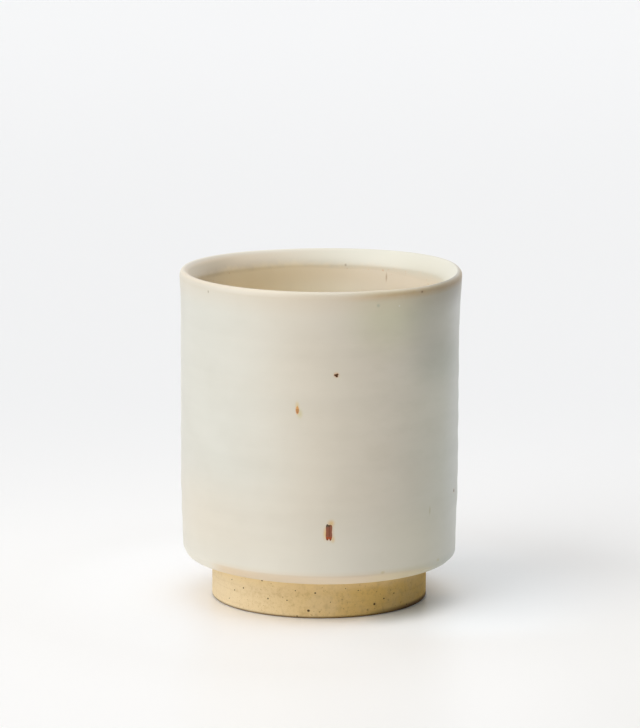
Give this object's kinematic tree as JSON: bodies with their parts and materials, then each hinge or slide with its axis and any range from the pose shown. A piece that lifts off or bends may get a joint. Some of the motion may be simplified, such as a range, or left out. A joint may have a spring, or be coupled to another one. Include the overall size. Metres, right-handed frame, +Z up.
{
  "type": "tea cup",
  "caption": "Straight-sided stoneware tea cup with a rounded lip and no handle, glazed inside and out, standing on a bare clay foot ring.",
  "frame": {"origin": "on the table, at the middle of the foot ring", "axes": "+Z up along the axis of the wheel, -Y towards the pictured side"},
  "size_m": [0.081, 0.081, 0.096],
  "materials": {
    "bare_clay": "bare fired stoneware, turned, matt and slightly sandy",
    "foot_clay": "bare sandy stoneware with dark iron specks, matt",
    "inside_glaze": "thin warm glaze, half gloss",
    "outside_glaze": "pale warm glaze, half gloss, thin and peach at the edges",
    "iron_melt": "rust brown iron melted into the glaze, half gloss"
  },
  "bodies": {
    "root": {"thrown_body": "bare_clay", "foot_ring": "foot_clay", "inner_glaze": "inside_glaze", "outer_glaze": "outside_glaze", "iron_spots": "iron_melt"}
  },
  "joints": []
}
